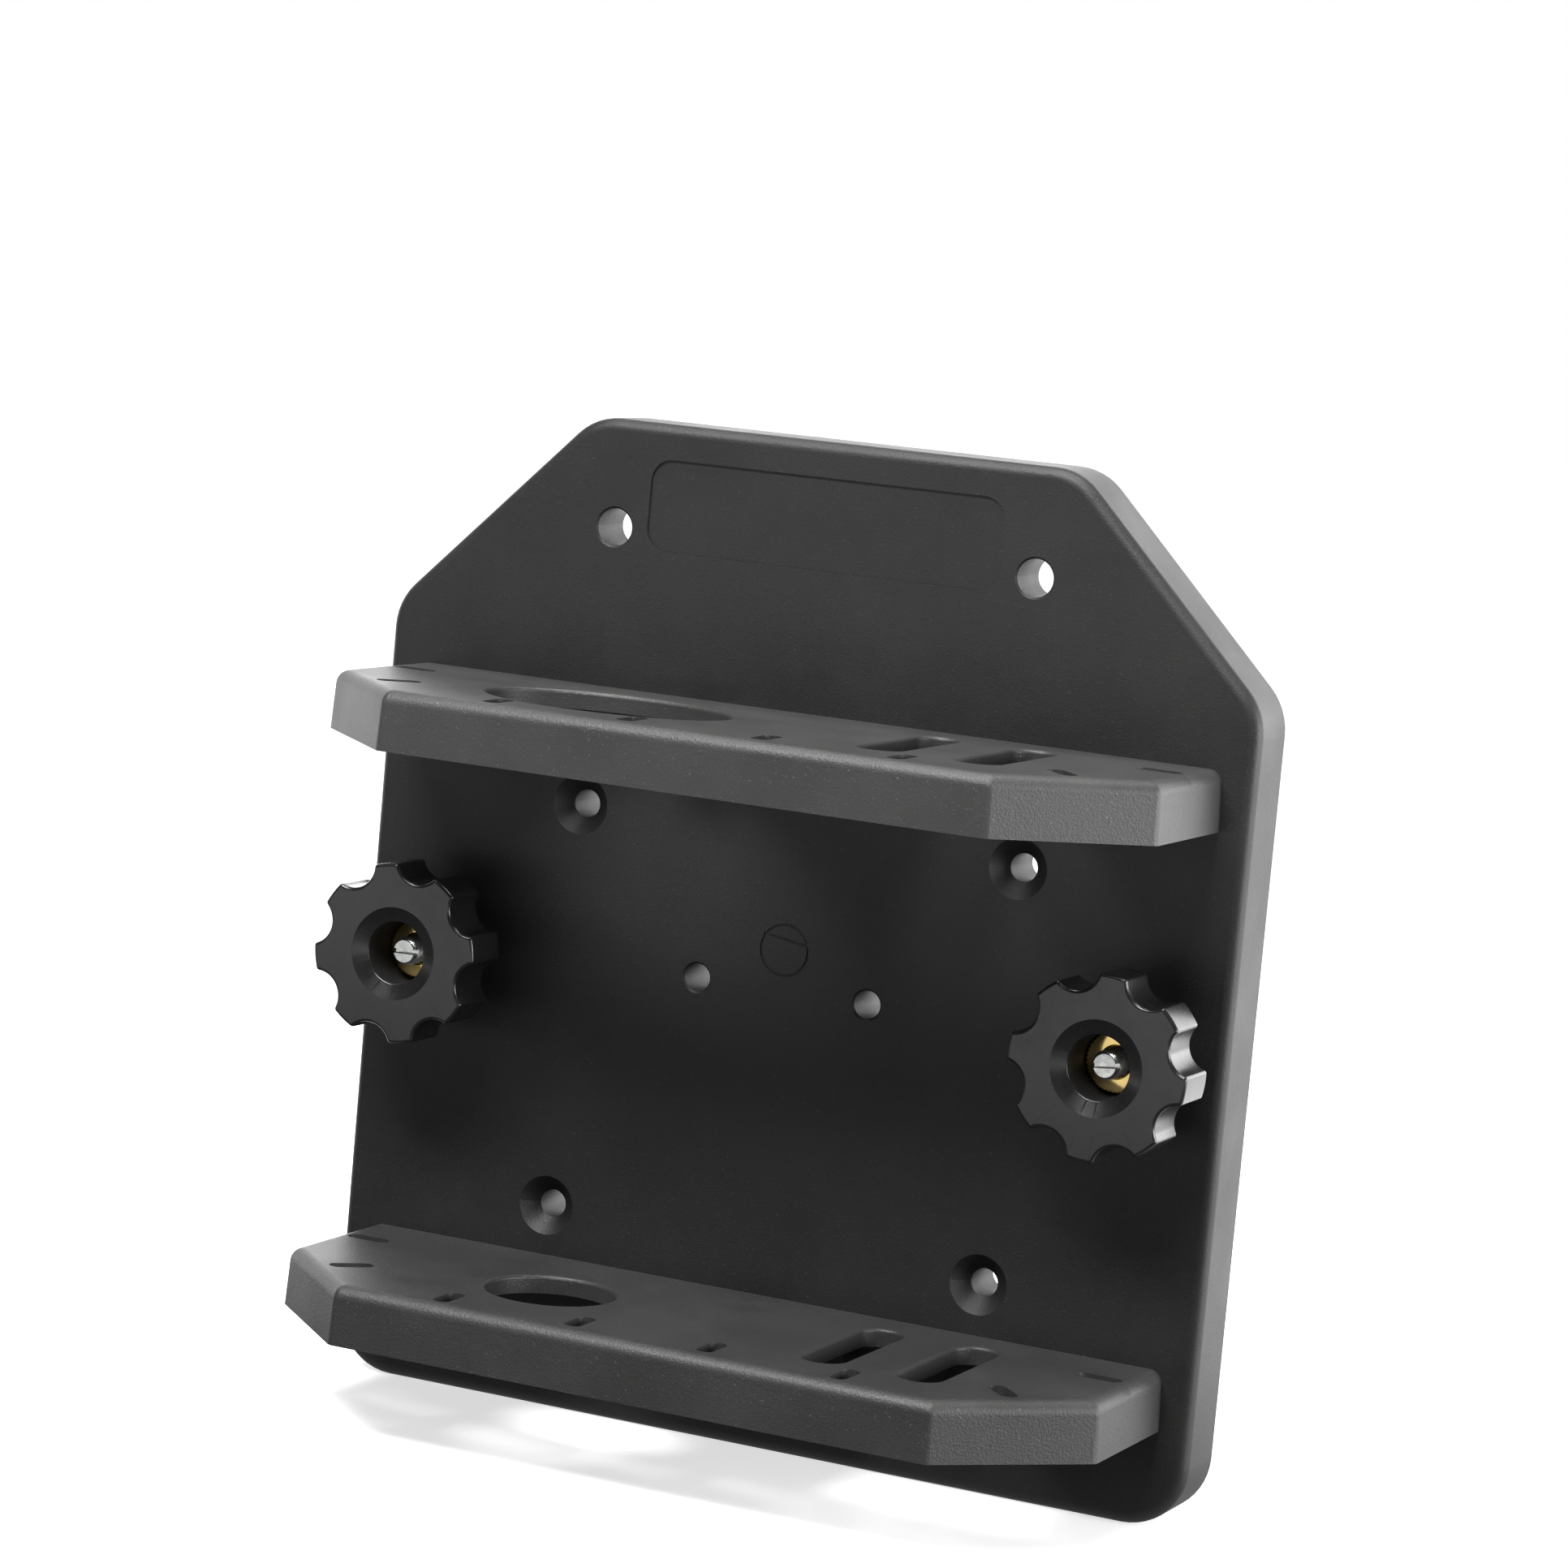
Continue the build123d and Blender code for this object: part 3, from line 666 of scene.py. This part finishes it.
camera_data = bpy.data.cameras.new("camera")
camera_data.lens = LENS
camera_data.sensor_width = SENSOR_WIDTH
camera = bpy.data.objects.new("camera", camera_data)
SCENE.collection.objects.link(camera)
view_back = VIEW_RIGHT.cross(-VIEW_DOWN).normalized()
view_turn = Matrix((VIEW_RIGHT, -VIEW_DOWN, view_back)).transposed().to_4x4()
camera.matrix_world = Matrix.Translation(VIEW_PLACE) @ view_turn
SCENE.camera = camera


# ---------------------------------------------------------------- studio
FLOOR_SIZE = 12.0
# the camera sees the floor as paper with a glare of its own, and other rays meet a dull grey
PAPER_MOTTLE, PAPER_GLARE, DULL_GREY = 3.0, 0.66, 0.05
# the floor's glow behind the object and before it, and the y between which each one fades
GLOW_BEHIND, GLOW_BEFORE = 2.7, 1.3
BEHIND_FADE, BEFORE_FADE = (-0.06, 0.2), (-0.55, -0.3)
# the room's glow grows along GLOW_DIRECTION from ROOM_GLOW to WALL_GLOW, which it reaches at GLOW_FULL
WALL_GLOW, ROOM_GLOW, GLOW_DIRECTION, GLOW_FULL = 7.0, 0.1, (0.0, 1.0, -0.9), 0.9
# each light's name, place, width, height and watts
SOFT_LIGHTS = (
    ("high_front", (-0.15, -0.85, 1.08), 0.9, 0.3, 31),
    ("overhead", (0, -0.02, 1.2), 1.0, 0.5, 16),
    ("right", (1.25, 0.0, 0.05), 0.7, 0.8, 25),
)
LIGHTS_AIM = Vector((0, -0.05, 0))

floor_shape = bmesh.new()
bmesh.ops.create_grid(floor_shape, x_segments=1, y_segments=1, size=FLOOR_SIZE / 2)
floor_mesh = bpy.data.meshes.new("floor")
floor_shape.to_mesh(floor_mesh)
floor_shape.free()
floor = bpy.data.objects.new("floor", floor_mesh)
SCENE.collection.objects.link(floor)
floor.location.z = cad_low.z


def floor_material():
    """Pale paper, overexposed to the camera. It glows behind the object and far before it."""
    material, tree, shader = new_material("floor")
    paper = colour_between(tree, noise_of(tree, PAPER_MOTTLE), (0.80, 0.80, 0.795), (0.83, 0.83, 0.825))
    tree.links.new(paper, shader.inputs["Base Color"])
    shader.inputs["Roughness"].default_value = 0.9
    shader.inputs["Emission Color"].default_value = (1, 1, 1, 1)
    shader.inputs["Emission Strength"].default_value = PAPER_GLARE
    dull = tree.nodes.new("ShaderNodeBsdfDiffuse")
    dull.inputs["Color"].default_value = (DULL_GREY, DULL_GREY, DULL_GREY, 1)
    place = tree.nodes.new("ShaderNodeTexCoord")
    axes = tree.nodes.new("ShaderNodeSeparateXYZ")
    tree.links.new(place.outputs["Object"], axes.inputs["Vector"])
    glow = tree.nodes.new("ShaderNodeEmission")
    both_glows = tree.nodes.new("ShaderNodeMath")
    behind = ramp_of(tree, axes.outputs["Y"], 0.0, GLOW_BEHIND, *BEHIND_FADE)
    before = ramp_of(tree, axes.outputs["Y"], GLOW_BEFORE, 0.0, *BEFORE_FADE)
    tree.links.new(behind, both_glows.inputs[0])
    tree.links.new(before, both_glows.inputs[1])
    tree.links.new(both_glows.outputs["Value"], glow.inputs["Strength"])
    dull_and_glow = tree.nodes.new("ShaderNodeAddShader")
    tree.links.new(dull.outputs["BSDF"], dull_and_glow.inputs[0])
    tree.links.new(glow.outputs["Emission"], dull_and_glow.inputs[1])
    either = by_ray(tree, shader.outputs["BSDF"], dull_and_glow.outputs["Shader"])
    output = next(n for n in tree.nodes if n.type == "OUTPUT_MATERIAL")
    tree.links.new(either, output.inputs["Surface"])
    return material


paint(floor, floor_material())


def studio_world():
    """A white room whose far wall glows behind the object, most of all low down; its front stays dim."""
    world = bpy.data.worlds.new("studio")
    world.use_nodes = True
    tree = world.node_tree
    tree.nodes.clear()
    output = tree.nodes.new("ShaderNodeOutputWorld")
    glow = tree.nodes.new("ShaderNodeBackground")
    place = tree.nodes.new("ShaderNodeTexCoord")
    backward_and_low = tree.nodes.new("ShaderNodeVectorMath")
    backward_and_low.operation = "DOT_PRODUCT"
    backward_and_low.inputs[1].default_value = GLOW_DIRECTION
    tree.links.new(place.outputs["Generated"], backward_and_low.inputs[0])
    strength = ramp_of(tree, backward_and_low.outputs["Value"], ROOM_GLOW, WALL_GLOW, 0.0, GLOW_FULL)
    tree.links.new(strength, glow.inputs["Strength"])
    seen = tree.nodes.new("ShaderNodeBackground")
    seen.inputs["Strength"].default_value = 1.0
    seen.inputs["Color"].default_value = (1, 1, 1, 1)
    either = by_ray(tree, seen.outputs["Background"], glow.outputs["Background"])
    tree.links.new(either, output.inputs["Surface"])
    SCENE.world = world


def soft_light(name, place, width, height, power):
    """A softbox that faces the object."""
    lamp = bpy.data.lights.new(name, "AREA")
    lamp.shape = "RECTANGLE"
    lamp.size, lamp.size_y, lamp.energy = width, height, power
    holder = bpy.data.objects.new(name, lamp)
    SCENE.collection.objects.link(holder)
    holder.location = place
    aim = LIGHTS_AIM - Vector(place)
    holder.rotation_euler = aim.to_track_quat("-Z", "Y").to_euler()


studio_world()
for light in SOFT_LIGHTS:
    soft_light(*light)

SCENE.view_settings.view_transform = "Standard"
SCENE.view_settings.look = "None"
